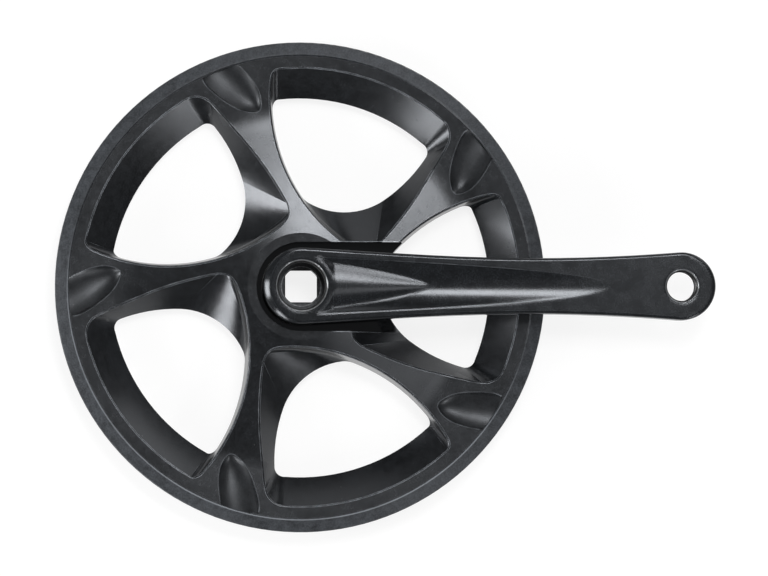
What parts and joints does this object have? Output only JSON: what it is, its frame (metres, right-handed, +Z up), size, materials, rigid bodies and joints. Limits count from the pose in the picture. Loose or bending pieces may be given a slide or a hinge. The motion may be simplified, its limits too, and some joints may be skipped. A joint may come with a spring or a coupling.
{
  "type": "bicycle crank with chain guard",
  "caption": "Right-hand bicycle crank: forged arm with square spindle socket and pedal eye, toothed ring on its boss, and a round spoked chain guard with swept windows.",
  "frame": {"origin": "on the spindle axis, at the middle of the toothed ring's thickness", "axes": "+X from the spindle to the pedal eye, +Z up, -Y outboard along the spindle axis"},
  "size_m": [0.2952, 0.031, 0.22],
  "materials": {
    "crank_arm": "satin black coating on a forged arm",
    "chain_guard": "satin black moulded plastic",
    "chainring": "black coated pressed steel",
    "guard_screws": "dark zinc"
  },
  "bodies": {
    "root": {"crank_arm": "crank_arm", "chain_guard": "chain_guard", "chainring": "chainring", "guard_screws": "guard_screws"}
  },
  "joints": []
}
